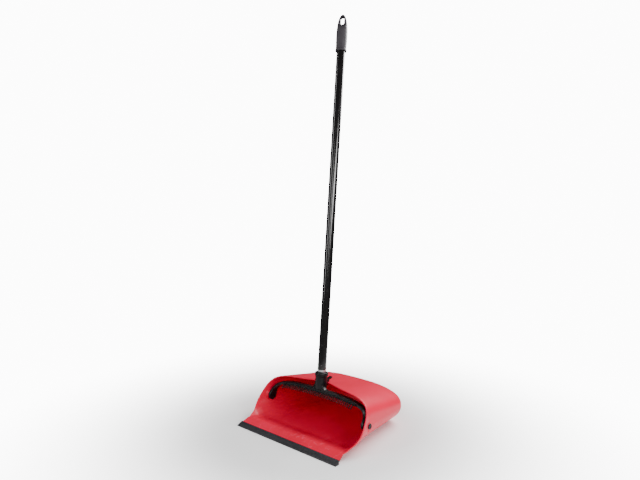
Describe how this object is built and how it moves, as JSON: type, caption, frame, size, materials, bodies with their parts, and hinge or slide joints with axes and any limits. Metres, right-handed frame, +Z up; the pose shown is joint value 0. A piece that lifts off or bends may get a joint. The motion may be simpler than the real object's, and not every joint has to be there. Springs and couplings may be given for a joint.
{
  "type": "long-handled dust pan",
  "caption": "Long-handled hooded dust pan: moulded scoop with rubber lip, tilting bow with broom comb and catch, screwed-in metal handle with hanging grip.",
  "frame": {"origin": "on the floor under the pan, centred across it, 12 mm behind the tilt axis of the handle", "axes": "+Z up, -Y out of the mouth towards the lip, +Y towards the rear wall, +X to the right seen from in front of the mouth"},
  "size_m": [0.3216, 0.286, 0.9944],
  "materials": {
    "red_plastic": "moulded polypropylene, satin gloss",
    "lip_rubber": "matte extruded rubber",
    "black_plastic": "moulded, satin",
    "comb_plastic": "moulded, satin",
    "bare_steel": "bright drawn steel",
    "black_sleeve": "glossy plastic skin",
    "dark_rivet": "blackened metal",
    "grip_plastic": "moulded, matte"
  },
  "bodies": {
    "pan": {"pan_shell": "red_plastic", "lip_strip": "lip_rubber", "hinge_pin_left": "black_plastic", "hinge_pin_right": "black_plastic"},
    "handle": {"bow": "black_plastic", "broom_comb": "comb_plastic", "catch_pin": "bare_steel", "catch_spring": "bare_steel", "threaded_end": "black_plastic", "handle_tube": "bare_steel", "tube_sleeve": "black_sleeve", "end_rivet": "dark_rivet", "grip": "grip_plastic"},
    "catch": {"catch_lever": "black_plastic"}
  },
  "joints": [
    {"name": "handle_tilt", "type": "hinge", "parent": "pan", "child": "handle", "pos_m": [0, -0.012, 0.047], "axis": [1, 0, 0], "range_deg": [0, 90]},
    {"name": "catch_press", "type": "hinge", "parent": "handle", "child": "catch", "pos_m": [0, 0.02969, 0.10415], "axis": [1, 0, 0], "range_deg": [-14, 0], "stiffness_Nm_per_rad": 0.05}
  ]
}
